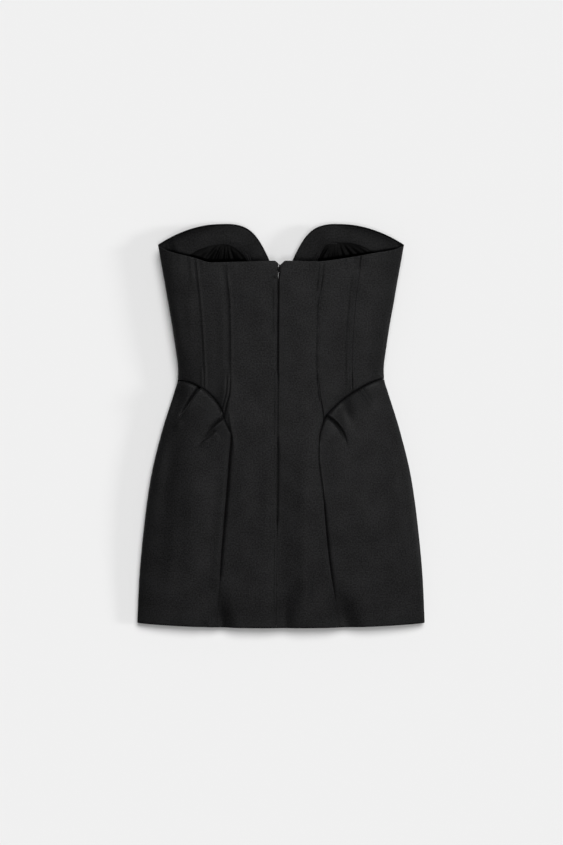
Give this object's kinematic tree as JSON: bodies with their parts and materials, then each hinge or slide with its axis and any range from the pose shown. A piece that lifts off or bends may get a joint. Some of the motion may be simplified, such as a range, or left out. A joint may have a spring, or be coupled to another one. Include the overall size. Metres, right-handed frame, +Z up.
{
  "type": "strapless mini dress",
  "caption": "Strapless fitted mini dress with a sweetheart front, straight back, curved hip seams with tucks and a hidden back zip, lying flat on its front.",
  "frame": {"origin": "middle of the dress's bounding box in X and Y, on the surface that it lies on", "axes": "+Y from the hem to the neckline, +Z up from the surface through the back of the dress, +X towards the wearer's right"},
  "size_m": [0.4762, 0.6657, 0.0429],
  "materials": {
    "cloth": "matte black woven cloth with a faint sheen",
    "facing": "the same black cloth, matte",
    "lining": "black satin lining",
    "zip_tape": "black zip tape",
    "zip_metal": "glossy black enamel"
  },
  "bodies": {
    "dress": {"back_centre_left": "cloth", "back_centre_right": "cloth", "back_side_left": "cloth", "back_side_right": "cloth", "side_left": "cloth", "side_right": "cloth", "back_hip_left": "cloth", "back_hip_right": "cloth", "front_centre": "cloth", "front_side_left": "cloth", "front_side_right": "cloth", "front_hip_left": "cloth", "front_hip_right": "cloth", "facing_left": "facing", "facing_right": "facing", "lining_left": "lining", "lining_right": "lining", "zip_tape": "zip_tape", "zip_slider": "zip_metal"},
    "pull_tab": {"zip_tab": "zip_metal"}
  },
  "joints": [
    {"name": "tab_lift", "type": "hinge", "parent": "dress", "child": "pull_tab", "pos_m": [-0.00368, 0.2565, 0.04099], "axis": [-0.9063, 0.4226, 0], "range_deg": [0, 105]}
  ]
}
